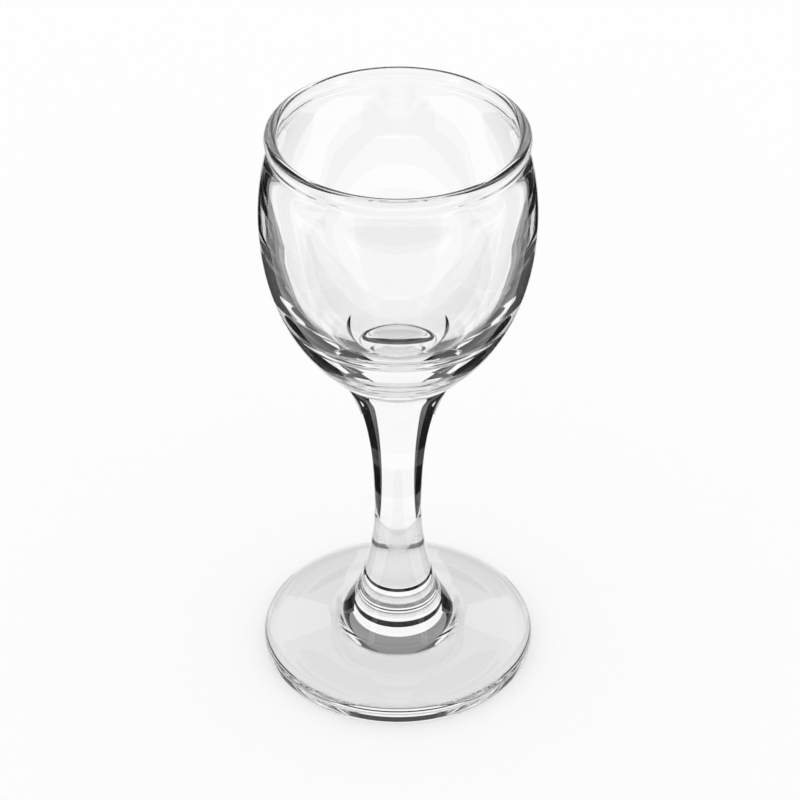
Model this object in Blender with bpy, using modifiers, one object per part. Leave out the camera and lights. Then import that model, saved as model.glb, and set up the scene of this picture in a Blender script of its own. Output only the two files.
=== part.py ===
"""Stemmed vodka glass: a bowl, a stem and a foot of clear glass, turned about one upright axis.

The three pieces were formed one after another and fused while hot. Each is a half profile that a Screw
modifier turns about Z, and each stands on the one below, with a hairline between them for the weld.
The origin is the centre of the ring that the foot rests on.
"""

import math

import bpy
from mathutils import Vector
from mathutils.geometry import interpolate_bezier

# Foot, in metres
FOOT_RADIUS = 0.0250
FOOT_EDGE_THICKNESS = 0.0037
FOOT_EDGE_ROUND_RUN = 0.0024
FOOT_EDGE_ROUND_DROP = 0.0017
FOOT_EDGE_CORNER = 0.0010
FOOT_SEAT_HEIGHT = 0.0053
FOOT_RING_WIDTH = 0.00395
FOOT_HOLLOW_DEPTH = 0.0012

# Stem
STEM_LENGTH = 0.05495
STEM_BASE_RADIUS = 0.0128
STEM_WAIST_RADIUS = 0.00427
STEM_WAIST_RISE = 0.0264
STEM_TOP_RADIUS = 0.00945

# Bowl
BOWL_HEIGHT = 0.04915
BOWL_WIDEST_RADIUS = 0.02375
BOWL_WIDEST_DROP = 0.0166
BOWL_WALL = 0.0016
BOWL_INSIDE_WIDEST_DROP = 0.0141
BOWL_WELL_RADIUS = 0.0095
BOWL_WELL_EDGE_THICKNESS = 0.0082
BOWL_WELL_DEPTH = 0.0042
RIM_RADIUS = 0.0223
RIM_BEAD_THICKNESS = 0.0022
RIM_BEAD_STAND_OUT = 0.00035
RIM_BEAD_DEPTH = 0.0032
RIM_BEAD_STAND_IN = 0.0008
RIM_BEAD_INSIDE_DEPTH = 0.0036

# Hairline between two pieces where they are fused
WELD_GAP = 0.0003

# Slopes of the curves where they end, in degrees above level
FOOT_TOP_SLOPE = 9.0
STEM_BASE_SLOPE = 20.0
STEM_TOP_SLOPE = 71.0
BOWL_SEAT_SLOPE = 39.9
BOWL_WELL_RIM_SLOPE = 22.0
BOWL_WELL_SIDE_SLOPE = 74.0
RIM_BEAD_FOOT_SLOPE = 82.0
RIM_BEAD_INSIDE_FOOT_SLOPE = 87.6

# Fullness of the curves: the part of its rise or run that a curve goes straight on before it turns
FOOT_TOP_FULLNESS = 0.33
FOOT_EDGE_RUN_FULLNESS = 0.58
FOOT_EDGE_DROP_FULLNESS = 0.59
FOOT_HOLLOW_FULLNESS = 0.50
STEM_BASE_FULLNESS = 0.133
STEM_LOWER_FULLNESS = 0.59
STEM_UPPER_FULLNESS = 0.785
STEM_TOP_FULLNESS = 0.07
BOWL_SEAT_FULLNESS = 0.35
BOWL_LOWER_FULLNESS = 0.456
BOWL_UPPER_FULLNESS = 0.46
BOWL_NECK_FULLNESS = 0.135
BOWL_INSIDE_NECK_FULLNESS = 0.23
BOWL_INSIDE_UPPER_FULLNESS = 0.57
BOWL_INSIDE_LOWER_FULLNESS = 0.63
BOWL_WELL_RIM_FULLNESS = 0.24
BOWL_WELL_FLOOR_FULLNESS = 0.55
BOWL_WELL_SIDE_FULLNESS = 0.32
RIM_BEAD_FULLNESS = 0.46
RIM_BEAD_FOOT_FULLNESS = 0.38

# Facets
TURN_STEPS = 48
MERGE_DISTANCE = 0.00001

# Colour and surface of clear glass
GLASS_COLOUR = (0.95, 0.97, 0.97, 1.0)
GLASS_ROUGHNESS = 0.02
GLASS_IOR = 1.52


def remove_everything():
    for item in list(bpy.data.objects):
        bpy.data.objects.remove(item)


def curve(start, start_handle, end_handle, end, points):
    """A cubic curve in the XZ plane as (radius, height) pairs."""
    corners = [Vector((x, 0.0, z)) for x, z in (start, start_handle, end_handle, end)]
    return [(p.x, p.z) for p in interpolate_bezier(*corners, points)]


def arc(centre, radius, first_angle, last_angle, points):
    """A circular arc in the XZ plane, angles in degrees from +X towards +Z."""
    turns = [first_angle + (last_angle - first_angle) * i / (points - 1) for i in range(points)]
    return [
        (centre[0] + radius * math.cos(math.radians(a)), centre[1] + radius * math.sin(math.radians(a)))
        for a in turns
    ]


def along(start, length, angle):
    """The point a given length away from start, angle in degrees from +X towards +Z."""
    turn = math.radians(angle)
    return (start[0] + length * math.cos(turn), start[1] + length * math.sin(turn))


def chain(*stretches):
    """Joins stretches of a profile end to end and keeps each shared point once."""
    points = list(stretches[0])
    for stretch in stretches[1:]:
        gap = math.dist(points[-1], stretch[0])
        points += stretch[1:] if gap < MERGE_DISTANCE else stretch
    return points


def foot_profile():
    """From the middle of the seat over the sloping top and the round edge to the hollow underneath."""
    corner_centre = (FOOT_RADIUS - FOOT_EDGE_CORNER, FOOT_EDGE_CORNER)
    seat_edge = (STEM_BASE_RADIUS, FOOT_SEAT_HEIGHT)
    top_end = (FOOT_RADIUS - FOOT_EDGE_ROUND_RUN, FOOT_EDGE_THICKNESS)
    round_end = (FOOT_RADIUS, FOOT_EDGE_THICKNESS - FOOT_EDGE_ROUND_DROP)
    run = FOOT_TOP_FULLNESS * (top_end[0] - seat_edge[0])
    top = curve(
        seat_edge,
        along(seat_edge, run, -FOOT_TOP_SLOPE),
        along(top_end, run, 180 - FOOT_TOP_SLOPE),
        top_end,
        5,
    )
    edge = curve(
        top_end,
        along(top_end, FOOT_EDGE_RUN_FULLNESS * FOOT_EDGE_ROUND_RUN, 0),
        along(round_end, FOOT_EDGE_DROP_FULLNESS * FOOT_EDGE_ROUND_DROP, 90),
        round_end,
        6,
    )
    corner = arc(corner_centre, FOOT_EDGE_CORNER, 0, -90, 4)
    hollow_edge = (corner_centre[0] - FOOT_RING_WIDTH, 0.0)
    hollow_top = (0.0, FOOT_HOLLOW_DEPTH)
    hollow_run = FOOT_HOLLOW_FULLNESS * hollow_edge[0]
    hollow_slope = math.degrees(math.atan2(FOOT_HOLLOW_DEPTH, hollow_run))
    hollow = curve(
        hollow_edge,
        along(hollow_edge, hollow_run / 2, 180 - hollow_slope),
        (hollow_run, FOOT_HOLLOW_DEPTH),
        hollow_top,
        7,
    )
    ring = [corner[-1], hollow_edge]
    return chain([(0.0, FOOT_SEAT_HEIGHT), seat_edge], top, edge, corner, ring, hollow)


def stem_profile():
    """From the middle of the top face down past the waist to the flared base, which is at height 0."""
    top_edge = (STEM_TOP_RADIUS, STEM_LENGTH)
    waist = (STEM_WAIST_RADIUS, STEM_WAIST_RISE)
    base_edge = (STEM_BASE_RADIUS, 0.0)
    upper_rise = STEM_LENGTH - STEM_WAIST_RISE
    upper = curve(
        top_edge,
        along(top_edge, STEM_TOP_FULLNESS * upper_rise, -STEM_TOP_SLOPE),
        along(waist, STEM_UPPER_FULLNESS * upper_rise, 90),
        waist,
        11,
    )
    lower = curve(
        waist,
        along(waist, STEM_LOWER_FULLNESS * STEM_WAIST_RISE, -90),
        along(base_edge, STEM_BASE_FULLNESS * STEM_WAIST_RISE, 180 - STEM_BASE_SLOPE),
        base_edge,
        11,
    )
    return chain([(0.0, STEM_LENGTH), top_edge], upper, lower, [base_edge, (0.0, 0.0)])


def bowl_profile():
    """From the middle of the well up the inside, over the rim and down to the seat, which is at height 0."""
    bead_radius = RIM_BEAD_THICKNESS / 2
    bead_centre = (RIM_RADIUS - bead_radius, BOWL_HEIGHT - bead_radius)
    well_centre = (0.0, BOWL_WELL_EDGE_THICKNESS - BOWL_WELL_DEPTH)
    well_edge = (BOWL_WELL_RADIUS, BOWL_WELL_EDGE_THICKNESS)
    inside_widest = (BOWL_WIDEST_RADIUS - BOWL_WALL, BOWL_HEIGHT - BOWL_INSIDE_WIDEST_DROP)
    inside_rise = inside_widest[1] - BOWL_WELL_EDGE_THICKNESS
    well = curve(
        well_centre,
        along(well_centre, BOWL_WELL_FLOOR_FULLNESS * BOWL_WELL_RADIUS, 0),
        along(well_edge, BOWL_WELL_SIDE_FULLNESS * BOWL_WELL_RADIUS, 180 + BOWL_WELL_SIDE_SLOPE),
        well_edge,
        10,
    )
    inside_wall = curve(
        well_edge,
        along(well_edge, BOWL_WELL_RIM_FULLNESS * inside_rise, BOWL_WELL_RIM_SLOPE),
        along(inside_widest, BOWL_INSIDE_LOWER_FULLNESS * inside_rise, -90),
        inside_widest,
        13,
    )
    inside_rim = RIM_RADIUS - RIM_BEAD_THICKNESS
    inside_foot = (inside_rim + RIM_BEAD_STAND_IN, BOWL_HEIGHT - RIM_BEAD_INSIDE_DEPTH)
    bead = arc(bead_centre, bead_radius, 180, 0, 9)
    neck_rise = inside_foot[1] - inside_widest[1]
    inside_neck = curve(
        inside_widest,
        along(inside_widest, BOWL_INSIDE_UPPER_FULLNESS * neck_rise, 90),
        along(inside_foot, BOWL_INSIDE_NECK_FULLNESS * neck_rise, -RIM_BEAD_INSIDE_FOOT_SLOPE),
        inside_foot,
        7,
    )
    inside_bead_rise = bead[0][1] - inside_foot[1]
    inside_bead = curve(
        inside_foot,
        along(inside_foot, RIM_BEAD_FOOT_FULLNESS * inside_bead_rise, 180 - RIM_BEAD_INSIDE_FOOT_SLOPE),
        along(bead[0], RIM_BEAD_FULLNESS * inside_bead_rise, -90),
        bead[0],
        6,
    )
    neck = (RIM_RADIUS - RIM_BEAD_STAND_OUT, BOWL_HEIGHT - RIM_BEAD_DEPTH)
    outside_bead_rise = bead[-1][1] - neck[1]
    outside_bead = curve(
        bead[-1],
        along(bead[-1], RIM_BEAD_FULLNESS * outside_bead_rise, -90),
        along(neck, RIM_BEAD_FOOT_FULLNESS * outside_bead_rise, 180 - RIM_BEAD_FOOT_SLOPE),
        neck,
        6,
    )
    widest = (BOWL_WIDEST_RADIUS, BOWL_HEIGHT - BOWL_WIDEST_DROP)
    seat_edge = (STEM_TOP_RADIUS, 0.0)
    shoulder_rise = neck[1] - widest[1]
    shoulder = curve(
        neck,
        along(neck, BOWL_NECK_FULLNESS * shoulder_rise, -RIM_BEAD_FOOT_SLOPE),
        along(widest, BOWL_UPPER_FULLNESS * shoulder_rise, 90),
        widest,
        7,
    )
    belly = curve(
        widest,
        along(widest, BOWL_LOWER_FULLNESS * widest[1], -90),
        along(seat_edge, BOWL_SEAT_FULLNESS * widest[1], BOWL_SEAT_SLOPE),
        seat_edge,
        15,
    )
    seat = [seat_edge, (0.0, 0.0)]
    return chain(well, inside_wall, inside_neck, inside_bead, bead, outside_bead, shoulder, belly, seat)


def clear_glass(name):
    material = bpy.data.materials.new(name)
    material.use_nodes = True
    shader = material.node_tree.nodes["Principled BSDF"]
    shader.inputs["Base Color"].default_value = GLASS_COLOUR
    shader.inputs["Roughness"].default_value = GLASS_ROUGHNESS
    shader.inputs["Metallic"].default_value = 0.0
    shader.inputs["IOR"].default_value = GLASS_IOR
    shader.inputs["Transmission Weight"].default_value = 1.0
    return material


def turned(name, profile, height, collection, parent):
    """One piece of glass: its profile turned a full circle about the axis, standing at the given height."""
    mesh = bpy.data.meshes.new(name)
    mesh.from_pydata([(x, 0.0, z) for x, z in profile], [(i, i + 1) for i in range(len(profile) - 1)], [])
    mesh.materials.append(clear_glass(name + "_clear_glass"))
    piece = bpy.data.objects.new(name, mesh)
    collection.objects.link(piece)
    piece.parent = parent
    piece.location.z = height
    screw = piece.modifiers.new("turned", "SCREW")
    screw.axis = "Z"
    screw.angle = math.tau
    screw.steps = TURN_STEPS
    screw.render_steps = TURN_STEPS
    screw.use_merge_vertices = True
    screw.merge_threshold = MERGE_DISTANCE
    screw.use_smooth_shade = True
    return piece


def build_glass():
    collection = bpy.data.collections.new("stemmed_vodka_glass")
    bpy.context.scene.collection.children.link(collection)
    axis = bpy.data.objects.new("glass_axis", None)
    collection.objects.link(axis)
    stem_height = FOOT_SEAT_HEIGHT + WELD_GAP
    bowl_height = stem_height + STEM_LENGTH + WELD_GAP
    turned("foot", foot_profile(), 0.0, collection, axis)
    turned("stem", stem_profile(), stem_height, collection, axis)
    turned("bowl", bowl_profile(), bowl_height, collection, axis)


remove_everything()
build_glass()
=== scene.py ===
# %% [markdown]
# # A stemmed vodka glass
# The glass is three gathers of clear glass, a bowl, a stem and a foot, fused while hot into one piece.
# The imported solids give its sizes. This lesson turns the smooth, fused surface from one profile, gives
# it the look of fire-polished glass, and sets it in a bright-field studio, the usual way to photograph
# clear glass.

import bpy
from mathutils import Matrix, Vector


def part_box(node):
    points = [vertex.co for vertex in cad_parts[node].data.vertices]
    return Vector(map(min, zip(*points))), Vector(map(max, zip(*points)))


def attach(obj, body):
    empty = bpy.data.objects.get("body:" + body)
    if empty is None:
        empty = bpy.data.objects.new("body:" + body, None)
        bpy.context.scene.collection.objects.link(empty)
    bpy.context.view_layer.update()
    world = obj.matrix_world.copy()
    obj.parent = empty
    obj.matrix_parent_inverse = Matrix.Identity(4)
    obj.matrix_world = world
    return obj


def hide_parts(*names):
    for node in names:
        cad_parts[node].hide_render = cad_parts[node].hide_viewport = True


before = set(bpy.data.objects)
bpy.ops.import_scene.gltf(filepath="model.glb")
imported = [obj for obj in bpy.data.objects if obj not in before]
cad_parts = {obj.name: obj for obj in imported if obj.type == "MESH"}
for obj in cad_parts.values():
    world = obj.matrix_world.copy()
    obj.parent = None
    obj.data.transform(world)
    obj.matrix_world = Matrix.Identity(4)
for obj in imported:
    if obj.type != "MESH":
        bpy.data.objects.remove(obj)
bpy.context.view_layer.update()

# %% [markdown]
# ## Small helpers
# Colours are written as sRGB hex values, as a paint chart gives them, and a shader wants linear light,
# so one function turns one into the other. Another adds a node with its settings and links, which keeps
# every node tree below readable as a list of steps.

# %% Colour and node helpers
import math

import bpy
from mathutils import Vector

MM = 0.001


def linear(hex_colour):
    """Linear red, green, blue and alpha of an sRGB hex colour such as F0F0F0."""
    channels = [int(hex_colour[i : i + 2], 16) / 255 for i in (0, 2, 4)]
    return [c / 12.92 if c <= 0.04045 else ((c + 0.055) / 1.055) ** 2.4 for c in channels] + [1.0]


def add_node(tree, kind, links=(), inputs=(), **settings):
    """Adds a node, sets its properties and input values, and links its inputs to other nodes' outputs."""
    node = tree.nodes.new(kind)
    for name, value in settings.items():
        setattr(node, name, value)
    for socket, value in dict(inputs).items():
        node.inputs[socket].default_value = value
    for socket, source in dict(links).items():
        tree.links.new(source, node.inputs[socket])
    return node


# %% [markdown]
# ## The profile
# Every part of the glass is round, so half of its outline says it all: from the middle of the well in
# the bowl's floor, up the inside, over the rim, down the outside and the stem, over the foot and back to
# the axis underneath. A lathe operator would cut the same line as a template. It is a Bezier curve,
# because blown and pressed glass flows in long curves, with corners only where two gathers meet, at the
# edge of the well, above the foot's round edge and beside the resting ring. Heights and outer radii are
# read from the solids.

# %% Sizes that the solids give
bowl_low, bowl_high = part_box("bowl")
_, stem_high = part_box("stem")
_, foot_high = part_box("foot")
rim_height = bowl_high.z
seat_height = bowl_low.z
widest_radius = bowl_high.x
base_radius = stem_high.x
foot_radius = foot_high.x
base_height = foot_high.z
bowl_height = rim_height - seat_height
print("bowl", round(bowl_height / MM, 2), "mm tall,", round(2 * widest_radius / MM, 2), "mm wide")

# %% [markdown]
# Each stretch of the profile is a cubic curve between two points, with a handle at each end. A handle is
# given by its length and its angle, so it reads like a draughtsman's note: how far the line runs on
# straight, and which way. The bead's top and the foot's lower corner are quarter circles, whose handles
# are 0.5523 of the radius.

# %% Stretches of the profile
QUARTER = 0.5523
OUT, UP, IN, DOWN = 0, 90, 180, -90


def along(start, length, angle):
    """The point a given length away from start, angle in degrees from the radius towards the top."""
    turn = math.radians(angle)
    return (start[0] + length * math.cos(turn), start[1] + length * math.sin(turn))


def quarter_arc(centre, radius, angle):
    """A quarter circle that runs clockwise from the given angle, as start, two handles and end."""
    start, end = along(centre, radius, angle), along(centre, radius, angle - 90)
    handle = QUARTER * radius
    return [start, along(start, handle, angle - 90), along(end, handle, angle), end]


def straight(start, end):
    """A straight stretch, with its handles on the line at a third from each end."""
    run, rise = (end[0] - start[0]) / 3, (end[1] - start[1]) / 3
    return [start, (start[0] + run, start[1] + rise), (end[0] - run, end[1] - rise), end]


# %% [markdown]
# ## The bowl's part of the profile
# The flame that finishes a rim lets it sink into a bead, a little thicker than the wall, with a soft
# fold under it outside and inside. The floor is thick, where the bowl meets the stem, and has a round
# well pressed in it. Both could be modelled as rings of their own, but on the glass they are one skin
# with the wall, so they are stretches of the same line, which keeps the surface free of seams.

# %% Sizes of the bowl that its box does not show
rim_radius = 22.3 * MM
bead_radius = 1.1 * MM
fold_radius, fold_drop = 20.9 * MM, 3.6 * MM
neck_radius, neck_drop = 21.95 * MM, 3.2 * MM
widest_drop = 16.6 * MM
wall = 1.6 * MM
inside_widest_drop = 14.1 * MM
well_radius = 9.5 * MM
well_edge_thickness = 8.2 * MM
well_depth = 4.2 * MM
weld_radius = 9.45 * MM
print("bead", round(2 * bead_radius / MM, 2), "mm thick on a wall of", round(wall / MM, 2), "mm")

# %% Slopes in degrees, and how far each curve runs on straight
well_side_slope, well_rim_slope = 74, 22
fold_slope, neck_slope = 87.6, 82
weld_slope = 39.9
well_floor_run, well_side_run, well_rim_run = 5.2 * MM, 3.0 * MM, 6.5 * MM
inside_run_below, inside_run_above = 16.9 * MM, 6.0 * MM
fold_run_below, fold_run_above = 2.4 * MM, 1.0 * MM
bead_run_inside, bead_run_outside = 1.2 * MM, 1.0 * MM
neck_run_above, neck_run_below = 0.8 * MM, 1.8 * MM
widest_run_above, widest_run_below = 6.85 * MM, 14.85 * MM
weld_run_above = 11.38 * MM
print("edge of the well: a corner of", well_side_slope - well_rim_slope, "degrees")

# %% The bowl's points
well_middle = (0.0, seat_height + well_edge_thickness - well_depth)
well_rim = (well_radius, seat_height + well_edge_thickness)
inside_widest = (widest_radius - wall, rim_height - inside_widest_drop)
fold = (fold_radius, rim_height - fold_drop)
bead_middle = (rim_radius - bead_radius, rim_height - bead_radius)
bead_inside = along(bead_middle, bead_radius, IN)
bead_outside = along(bead_middle, bead_radius, OUT)
neck = (neck_radius, rim_height - neck_drop)
widest = (widest_radius, rim_height - widest_drop)
weld = (weld_radius, seat_height)
print("under the well:", round((well_middle[1] - seat_height) / MM, 2), "mm of glass")

# %% The bowl's stretches
well = [
    well_middle,
    along(well_middle, well_floor_run, OUT),
    along(well_rim, well_side_run, IN + well_side_slope),
    well_rim,
]
inside_wall = [
    well_rim,
    along(well_rim, well_rim_run, OUT + well_rim_slope),
    along(inside_widest, inside_run_below, DOWN),
    inside_widest,
]
inside_neck = [
    inside_widest,
    along(inside_widest, inside_run_above, UP),
    along(fold, fold_run_below, OUT - fold_slope),
    fold,
]
inside_bead = [
    fold,
    along(fold, fold_run_above, IN - fold_slope),
    along(bead_inside, bead_run_inside, DOWN),
    bead_inside,
]
bead = [quarter_arc(bead_middle, bead_radius, IN), quarter_arc(bead_middle, bead_radius, UP)]
outside_bead = [
    bead_outside,
    along(bead_outside, bead_run_outside, DOWN),
    along(neck, neck_run_above, IN - neck_slope),
    neck,
]
shoulder = [
    neck,
    along(neck, neck_run_below, OUT - neck_slope),
    along(widest, widest_run_above, UP),
    widest,
]
belly = [
    widest,
    along(widest, widest_run_below, DOWN),
    along(weld, weld_run_above, OUT + weld_slope),
    weld,
]
bowl_stretches = [well, inside_wall, inside_neck, inside_bead, *bead, outside_bead, shoulder, belly]
print("bowl:", len(bowl_stretches), "stretches")

# %% [markdown]
# ## The stem's and the foot's part of the profile
# The stem is a gather that was pulled while hot, so it necks in to a waist and flares again at both
# ends, and two long curves follow it. The foot slopes gently to a rounded edge. It rests on a flat ring
# round a shallow hollow, so that it can't rock on a bump.

# %% Sizes of the stem and the foot that their boxes do not show
waist_radius, waist_height = 4.27 * MM, 32.0 * MM
foot_edge = 3.7 * MM
foot_round_run, foot_round_drop = 2.4 * MM, 1.7 * MM
foot_corner = 1.0 * MM
ring_width = 3.95 * MM
hollow_depth = 1.2 * MM
print("stem", round(2 * waist_radius / MM, 2), "mm across at its waist")

# %% Slopes in degrees, and how far each curve of the stem and the foot runs on straight
weld_flare_slope, base_slope = 71, 20
foot_top_slope, foot_edge_slope, hollow_slope = 12, 8, 7
weld_run_below = 2.0 * MM
waist_run_above, waist_run_below = 22.4 * MM, 15.6 * MM
base_run = 3.5 * MM
foot_top_run = 3.4 * MM
round_run_above, round_run_outside = 1.4 * MM, 1.0 * MM
hollow_edge_run, hollow_middle_run = 5.0 * MM, 10.0 * MM
print("foot: slopes by", foot_top_slope, "degrees at the stem and", foot_edge_slope, "at its edge")

# %% The stem's and the foot's points
waist = (waist_radius, waist_height)
base = (base_radius, base_height)
foot_top_end = (foot_radius - foot_round_run, foot_edge)
foot_round_end = (foot_radius, foot_edge - foot_round_drop)
corner_middle = (foot_radius - foot_corner, foot_corner)
ring_outside = along(corner_middle, foot_corner, DOWN)
ring_inside = (ring_outside[0] - ring_width, 0.0)
hollow_middle = (0.0, hollow_depth)
print("resting ring:", round(ring_width / MM, 2), "mm wide")

# %% The stem's and the foot's stretches
upper_stem = [
    weld,
    along(weld, weld_run_below, OUT - weld_flare_slope),
    along(waist, waist_run_above, UP),
    waist,
]
lower_stem = [
    waist,
    along(waist, waist_run_below, DOWN),
    along(base, base_run, IN - base_slope),
    base,
]
foot_top = [
    base,
    along(base, foot_top_run, OUT - foot_top_slope),
    along(foot_top_end, foot_top_run, IN - foot_edge_slope),
    foot_top_end,
]
foot_round = [
    foot_top_end,
    along(foot_top_end, round_run_above, OUT),
    along(foot_round_end, round_run_outside, UP),
    foot_round_end,
]
foot_side = straight(foot_round_end, along(corner_middle, foot_corner, OUT))
corner = quarter_arc(corner_middle, foot_corner, OUT)
ring = straight(ring_outside, ring_inside)
hollow = [
    ring_inside,
    along(ring_inside, hollow_edge_run, IN - hollow_slope),
    along(hollow_middle, hollow_middle_run, OUT),
    hollow_middle,
]
stem_stretches = [upper_stem, lower_stem]
foot_stretches = [foot_top, foot_round, foot_side, corner, ring, hollow]
stretches = bowl_stretches + stem_stretches + foot_stretches
print("profile:", len(stretches), "stretches")

# %% [markdown]
# ## Turning the profile
# A Screw modifier could turn the profile, but a Geometry Nodes tree shows the rule as plain steps: sweep
# the profile round a small guide circle, close the two ends on the axis, shade it smooth and give it its
# glass. The profile is written from the guide circle, so a point on the axis lies one guide radius
# inside it.

# %% The profile as a Bezier curve object
GUIDE_RADIUS = 1.0 * MM
STRETCH_STEPS = 22


def from_guide(point):
    """A profile point as seen from the guide circle, in the plane that the sweep lays across it."""
    return Vector((point[0] - GUIDE_RADIUS, -point[1], 0.0))


def profile_object(name, pieces):
    """One open Bezier curve through all the stretches, each cut into the same number of steps."""
    curve = bpy.data.curves.new(name, "CURVE")
    curve.dimensions = "3D"
    spline = curve.splines.new("BEZIER")
    spline.resolution_u = STRETCH_STEPS
    spline.bezier_points.add(len(pieces))
    knots = [piece[0] for piece in pieces] + [pieces[-1][3]]
    before = [pieces[0][0]] + [piece[2] for piece in pieces]
    after = [piece[1] for piece in pieces] + [pieces[-1][3]]
    for point, knot, left, right in zip(spline.bezier_points, knots, before, after):
        point.handle_left_type = point.handle_right_type = "FREE"
        point.co, point.handle_left, point.handle_right = map(from_guide, (knot, left, right))
    made = bpy.data.objects.new(name, curve)
    bpy.context.scene.collection.objects.link(made)
    return made


glass_profile = profile_object("glass_profile", stretches)
print("profile curve:", len(glass_profile.data.splines[0].bezier_points), "points")

# %% The tree that turns it


def turning_tree():
    """Sweeps a profile round a guide circle and ends with one closed, smooth mesh of one material."""
    tree = bpy.data.node_groups.new("turned_glass", "GeometryNodeTree")
    face = tree.interface
    face.new_socket("Profile", in_out="INPUT", socket_type="NodeSocketGeometry")
    face.new_socket("Guide Radius", in_out="INPUT", socket_type="NodeSocketFloat")
    face.new_socket("Turn Steps", in_out="INPUT", socket_type="NodeSocketInt")
    face.new_socket("Weld Distance", in_out="INPUT", socket_type="NodeSocketFloat")
    face.new_socket("Glass", in_out="INPUT", socket_type="NodeSocketMaterial")
    face.new_socket("Turned", in_out="OUTPUT", socket_type="NodeSocketGeometry")
    given = tree.nodes.new("NodeGroupInput").outputs
    circle = add_node(
        tree,
        "GeometryNodeCurvePrimitiveCircle",
        links={"Resolution": given["Turn Steps"], "Radius": given["Guide Radius"]},
    )
    swept = add_node(
        tree,
        "GeometryNodeCurveToMesh",
        links={"Curve": circle.outputs["Curve"], "Profile Curve": given["Profile"]},
    )
    closed = add_node(
        tree,
        "GeometryNodeMergeByDistance",
        links={"Geometry": swept.outputs["Mesh"], "Distance": given["Weld Distance"]},
    )
    smooth = add_node(tree, "GeometryNodeSetShadeSmooth", links={"Geometry": closed.outputs["Geometry"]})
    real = add_node(tree, "GeometryNodeRealizeInstances", links={"Geometry": smooth.outputs["Geometry"]})
    finished = add_node(
        tree,
        "GeometryNodeSetMaterial",
        links={"Geometry": real.outputs["Geometry"], "Material": given["Glass"]},
    )
    add_node(tree, "NodeGroupOutput", links={"Turned": finished.outputs["Geometry"]})
    return tree


# %% [markdown]
# ## The skin of the glass
# Table glass is pressed or blown and then fire polished: a flame melts the skin, which leaves it without
# scratches but with a faint long ripple, so what is seen through it wavers a little. The ripple could be
# modelled, but it is only a few thousandths of a millimetre high, so a bump will do. The polish isn't
# equally good all over, so the roughness varies a trace from patch to patch. Both come from noise, which
# has no seam and needs no picture.

# %% Ripple and polish
RIPPLE_LENGTH = 14.0 * MM
RIPPLE_HEIGHT = 0.004 * MM
HAZE_LENGTH = 6.0 * MM
HAZE_BEGINS, HAZE_FULL = 0.35, 0.75
GLASS_ROUGHNESS_LOW = 0.0
GLASS_ROUGHNESS_HIGH = 0.012


def rippled_normal(tree, place):
    """The direction that a faintly rippled skin faces at each place."""
    ripple = add_node(
        tree,
        "ShaderNodeTexNoise",
        links={"Vector": place},
        inputs={"Scale": 1 / RIPPLE_LENGTH, "Detail": 1.0, "Roughness": 0.4},
    )
    bump = add_node(
        tree,
        "ShaderNodeBump",
        links={"Height": ripple.outputs["Fac"]},
        inputs={"Strength": 1.0, "Distance": RIPPLE_HEIGHT},
    )
    return bump.outputs["Normal"]


def patchy_roughness(tree, place):
    """The roughness of the skin at each place, clear with patches of softer polish."""
    haze = add_node(
        tree,
        "ShaderNodeTexNoise",
        links={"Vector": place},
        inputs={"Scale": 1 / HAZE_LENGTH, "Detail": 3.0, "Roughness": 0.5},
    )
    roughness = add_node(
        tree,
        "ShaderNodeMapRange",
        links={"Value": haze.outputs["Fac"]},
        inputs={
            "From Min": HAZE_BEGINS,
            "From Max": HAZE_FULL,
            "To Min": GLASS_ROUGHNESS_LOW,
            "To Max": GLASS_ROUGHNESS_HIGH,
        },
    )
    return roughness.outputs["Result"]


print("ripple:", round(RIPPLE_LENGTH / MM, 1), "mm long,", round(RIPPLE_HEIGHT / MM, 4), "mm high")

# %% [markdown]
# ## Light through the glass
# Soda-lime glass has an index of refraction of 1.52 and no colour that shows in so small a glass. Light
# from the room goes on through it to the floor, which a path tracer finds only by luck. So for the rays
# that light the floor it is see-through, and it holds back a part of them where its surface would
# reflect them, which gives the soft shadow.

# %% See-through for the rays that light the floor
GLASS_IOR = 1.52
SHADOW_PASS = 0.7


def dimmed_see_through(tree):
    """A see-through shader that holds back more where the surface would reflect more."""
    fresnel = add_node(tree, "ShaderNodeFresnel", inputs={"IOR": GLASS_IOR})
    passed = add_node(
        tree,
        "ShaderNodeMapRange",
        links={"Value": fresnel.outputs["Fac"]},
        inputs={"To Min": 1.0, "To Max": SHADOW_PASS},
    )
    through = add_node(tree, "ShaderNodeBsdfTransparent", links={"Color": passed.outputs["Result"]})
    return through.outputs["BSDF"]


def lighting_ray(tree):
    """One for a ray that lights another surface, and nought for a ray that shows the glass."""
    rays = add_node(tree, "ShaderNodeLightPath")
    lighting = add_node(
        tree,
        "ShaderNodeMath",
        links={0: rays.outputs["Is Shadow Ray"], 1: rays.outputs["Is Diffuse Ray"]},
        operation="MAXIMUM",
    )
    return lighting.outputs["Value"]


print("shadow: at least", SHADOW_PASS, "of the light goes through each surface")

# %% [markdown]
# ## The glass
# The skin and the light through it now go together into one material. The Principled shader does the
# reflection and the refraction, and the see-through shader takes its place for the rays that light the
# floor.

# %% Fire-polished soda-lime glass


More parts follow.
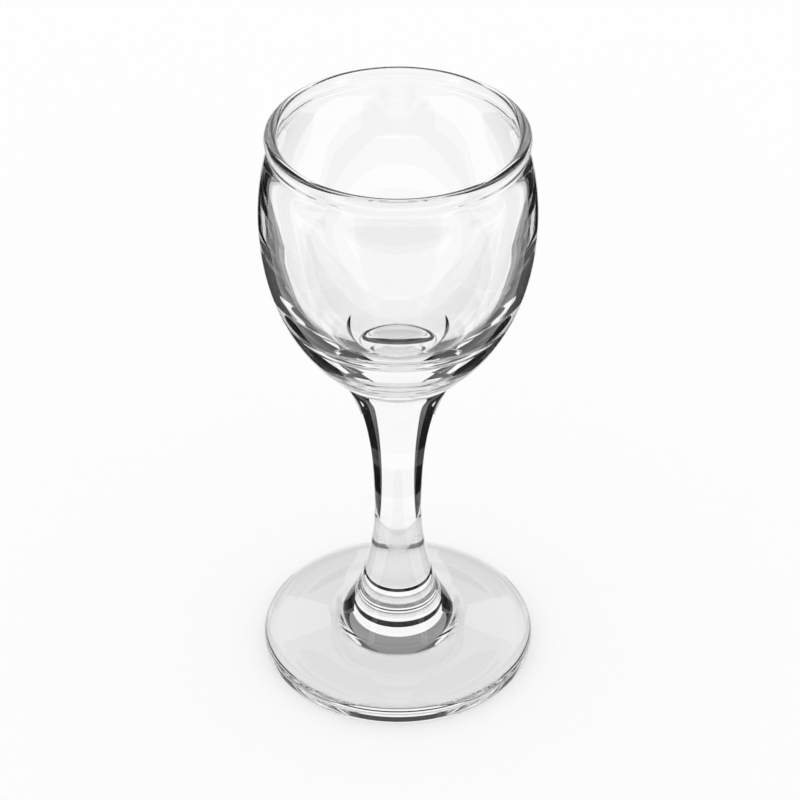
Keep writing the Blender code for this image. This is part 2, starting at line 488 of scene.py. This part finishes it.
def soda_lime_glass():
    """Clear glass with a faint ripple and patches of softer polish, see-through for the floor's light."""
    glass = bpy.data.materials.new("soda_lime_glass_fire_polished")
    glass.use_nodes = True
    tree = glass.node_tree
    tree.nodes.clear()
    place = add_node(tree, "ShaderNodeTexCoord").outputs["Object"]
    normal = rippled_normal(tree, place)
    roughness = patchy_roughness(tree, place)
    shader = add_node(
        tree,
        "ShaderNodeBsdfPrincipled",
        links={"Normal": normal, "Roughness": roughness},
        inputs={"Base Color": linear("FFFFFF"), "IOR": GLASS_IOR, "Transmission Weight": 1.0},
    )
    through = dimmed_see_through(tree)
    lighting = lighting_ray(tree)
    mixed = add_node(
        tree,
        "ShaderNodeMixShader",
        links={0: lighting, 1: shader.outputs["BSDF"], 2: through},
    )
    add_node(tree, "ShaderNodeOutputMaterial", links={"Surface": mixed.outputs["Shader"]})
    return glass


glass = soda_lime_glass()
print("glass:", glass.name, "with", len(glass.node_tree.nodes), "nodes")

# %% [markdown]
# ## From the tree to a plain mesh
# The tree's inputs are set by their identifiers, which stay the same if a label is changed. The
# evaluated result becomes a plain mesh, so that nothing live is left on the piece. Only edges sharper
# than the crease angle stay crisp in the shading: the edge of the well and the weld under the bowl.

# %% Turn the glass and make it a plain mesh
TURN_STEPS = 192
WELD_DISTANCE = 0.0005 * MM
CREASE_ANGLE = 30.0


def socket_id(tree, name):
    """The identifier of a tree's input of the given name."""
    return next(s.identifier for s in tree.interface.items_tree if s.name == name and s.in_out == "INPUT")


def turned_piece(name, profile, material):
    """Turns a profile object about the axis, and leaves only the plain mesh that this makes."""
    tree = turning_tree()
    turn = profile.modifiers.new("turned", "NODES")
    turn.node_group = tree
    turn[socket_id(tree, "Guide Radius")] = GUIDE_RADIUS
    turn[socket_id(tree, "Turn Steps")] = TURN_STEPS
    turn[socket_id(tree, "Weld Distance")] = WELD_DISTANCE
    turn[socket_id(tree, "Glass")] = material
    graph = bpy.context.evaluated_depsgraph_get()
    mesh = bpy.data.meshes.new_from_object(profile.evaluated_get(graph))
    mesh.name = name
    bpy.data.objects.remove(profile)
    made = bpy.data.objects.new(name, mesh)
    bpy.context.scene.collection.objects.link(made)
    return made


fused_glass = turned_piece("fused_glass", glass_profile, glass)
fused_glass.data.set_sharp_from_angle(angle=math.radians(CREASE_ANGLE))
low = [min(v.co[i] for v in fused_glass.data.vertices) for i in range(3)]
high = [max(v.co[i] for v in fused_glass.data.vertices) for i in range(3)]
print("turned glass from", [round(c / MM, 2) for c in low], "to", [round(c / MM, 2) for c in high], "mm")

# %% [markdown]
# ## One piece for three solids
# On the real glass the welds are melted together and no line shows inside, so one surface stands for all
# three solids. They stay in the model for collision.

# %% Stand in for the bowl, the stem and the foot
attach(fused_glass, "root")
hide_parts("bowl", "stem", "foot")
print("one piece:", fused_glass.name)

# %% [markdown]
# ## The floor
# The glass stands on a plain matt white sheet, which takes its soft shadow and shows through it. The
# sheet lies a hair below the foot, so that the two faces don't fight over the same place.

# %% White floor
FLOOR_HALF = 3.0
FLOOR_DROP = 0.02 * MM
FLOOR_COLOUR = "FEFEFE"


def card(name, corners, colour):
    """A flat matt sheet of one colour, which belongs to the stage and not to the glass."""
    mesh = bpy.data.meshes.new(name)
    mesh.from_pydata(corners, [], [tuple(range(len(corners)))])
    paint = bpy.data.materials.new(name + "_matt_paper")
    paint.use_nodes = True
    tree = paint.node_tree
    tree.nodes.clear()
    matt = add_node(tree, "ShaderNodeBsdfDiffuse", inputs={"Color": linear(colour)})
    add_node(tree, "ShaderNodeOutputMaterial", links={"Surface": matt.outputs["BSDF"]})
    mesh.materials.append(paint)
    made = bpy.data.objects.new(name, mesh)
    bpy.context.scene.collection.objects.link(made)
    return made


def oblong(left, right, low, high):
    """The corners of an oblong, round from its lower left."""
    return [(left, low), (right, low), (right, high), (left, high)]


floor_card = oblong(-FLOOR_HALF, FLOOR_HALF, -FLOOR_HALF, FLOOR_HALF)
card("floor", [(x, y, -FLOOR_DROP) for x, y in floor_card], FLOOR_COLOUR)
print("floor:", 2 * FLOOR_HALF, "m square")

# %% [markdown]
# ## White surroundings
# Even white light from all round is the plainest studio light there is: a colour renders as it is
# written.

# %% White world
world = bpy.data.worlds.new("white_studio")
bpy.context.scene.world = world
world.use_nodes = True
background = world.node_tree.nodes["Background"]
background.inputs["Color"].default_value = linear("FFFFFF")
background.inputs["Strength"].default_value = 1.0
print("world:", world.name)

# %% [markdown]
# ## The camera
# The photograph looks down on the glass at 36 degrees through a long lens. The values were fitted to the
# rim, the foot and the height of the glass in the picture, and the shift is the two pixels by which its
# axis lies off the middle.

# %% Camera
CAMERA_DISTANCE = 407.5 * MM
CAMERA_HEIGHT = 354.2 * MM
CAMERA_PITCH = 36.306
SENSOR_WIDTH = 36.0
LENS = 128.65
PICTURE_WIDTH = 800
AXIS_OFF_MIDDLE = 2.0
camera_data = bpy.data.cameras.new("camera")
camera_data.sensor_width = SENSOR_WIDTH
camera_data.lens = LENS
camera_data.shift_x = AXIS_OFF_MIDDLE / PICTURE_WIDTH
camera = bpy.data.objects.new("camera", camera_data)
camera.location = (0.0, -CAMERA_DISTANCE, CAMERA_HEIGHT)
camera.rotation_euler = (math.radians(90 - CAMERA_PITCH), 0.0, 0.0)
bpy.context.scene.collection.objects.link(camera)
bpy.context.scene.camera = camera
bpy.context.view_layer.update()
print("camera", round(camera.location.length / MM), "mm from the foot")

# %% [markdown]
# ## Black flags
# Clear glass in a white room all but disappears. A photographer keeps the background white and hides
# black cards round the glass: the edges bend the view towards the cards and turn dark. Two cards lie on
# the floor left and right behind the glass and leave a white lane between them, which the stem shows as
# a bright window. A third lies on the floor in front, and the rim and the front of the foot draw it out
# into thin dark lines. Two more stand at the sides, a bar hangs across the back above the line of sight,
# a grey card stands in front, and a paler one hangs above. The picture from another side is taken with
# the glass on a turntable, so each flag turns with the camera about the upright axis.

# %% A flag
FLAG_BLACK = "181818"


def flag(name, corners, colour):
    """A card that only glass sees: it takes no light from the floor and turns with the camera."""
    made = card(name, corners, colour)
    made.visible_camera = made.visible_diffuse = made.visible_shadow = False
    turn = made.constraints.new("LOCKED_TRACK")
    turn.target = camera
    turn.track_axis = "TRACK_NEGATIVE_Y"
    turn.lock_axis = "LOCK_Z"
    return made


# %% Flags at the left and the right, on the floor and upright
FLAG_LIFT = 0.1 * MM
LANE_NEAR = (21.0 * MM, 19.0 * MM)
LANE_FAR = (1087.0 * MM, 2900.0 * MM)
LANE_OUTSIDE_NEAR = (44.0 * MM, 0.0)
LANE_OUTSIDE_FAR = (3234.0 * MM, 2900.0 * MM)
SIDE_OUT = 400.0 * MM
SIDE_BEHIND = 500.0 * MM
SIDE_FRONT = -250.0 * MM
CEILING_HEIGHT = 450.0 * MM
lane_card = [LANE_NEAR, LANE_FAR, LANE_OUTSIDE_FAR, LANE_OUTSIDE_NEAR]
side_card = oblong(SIDE_FRONT, SIDE_BEHIND, 0.0, CEILING_HEIGHT)
for side, sign in (("left", -1), ("right", 1)):
    flag("flag_floor_" + side, [(sign * x, y, FLAG_LIFT) for x, y in lane_card], FLAG_BLACK)
    flag("flag_" + side, [(sign * SIDE_OUT, y, z) for y, z in side_card], FLAG_BLACK)
print("white lane:", round(2 * LANE_NEAR[0] / MM, 1), "mm wide at its near end")

# %% Flags in front, above and behind
FRONT_OUT = -400.0 * MM
CEILING_BEHIND = 450.0 * MM
NEAR_OUT = 320.0 * MM
NEAR_FRONT = -110.0 * MM
NEAR_BEHIND = -40.0 * MM
BAR_BEHIND = 300.0 * MM
BAR_LOW = 130.0 * MM
BAR_HIGH = 200.0 * MM
FRONT_GREY = "595959"
CEILING_GREY = "959595"
NEAR_BLACK = "1C1C1C"
front_card = oblong(-SIDE_OUT, SIDE_OUT, 0.0, CEILING_HEIGHT)
flag("flag_front", [(x, FRONT_OUT, z) for x, z in front_card], FRONT_GREY)
ceiling_card = oblong(-SIDE_OUT, SIDE_OUT, FRONT_OUT, CEILING_BEHIND)
flag("flag_above", [(x, y, CEILING_HEIGHT) for x, y in ceiling_card], CEILING_GREY)
near_card = oblong(-NEAR_OUT, NEAR_OUT, NEAR_FRONT, NEAR_BEHIND)
flag("flag_near", [(x, y, FLAG_LIFT) for x, y in near_card], NEAR_BLACK)
bar_card = oblong(-SIDE_OUT, SIDE_OUT, BAR_LOW, BAR_HIGH)
flag("flag_bar", [(x, BAR_BEHIND, z) for x, z in bar_card], FLAG_BLACK)

# %% [markdown]
# ## Light inside the glass
# Light that enters the bowl's wall near its edge is thrown from side to side many times before it gets
# out. A path tracer drops a path after a set number of bounces and paints it black, so the number is
# high: with fewer, the sides of the bowl turn into solid black bands.

# %% Bounces
GLASS_BOUNCES = 96
light_paths = bpy.context.scene.cycles
light_paths.max_bounces = light_paths.transmission_bounces = light_paths.glossy_bounces = GLASS_BOUNCES
print("bounces:", GLASS_BOUNCES)

# %% [markdown]
# ## Finish
# The colours are shown as they are.

# %% Colour management
bpy.context.scene.view_settings.view_transform = "Standard"
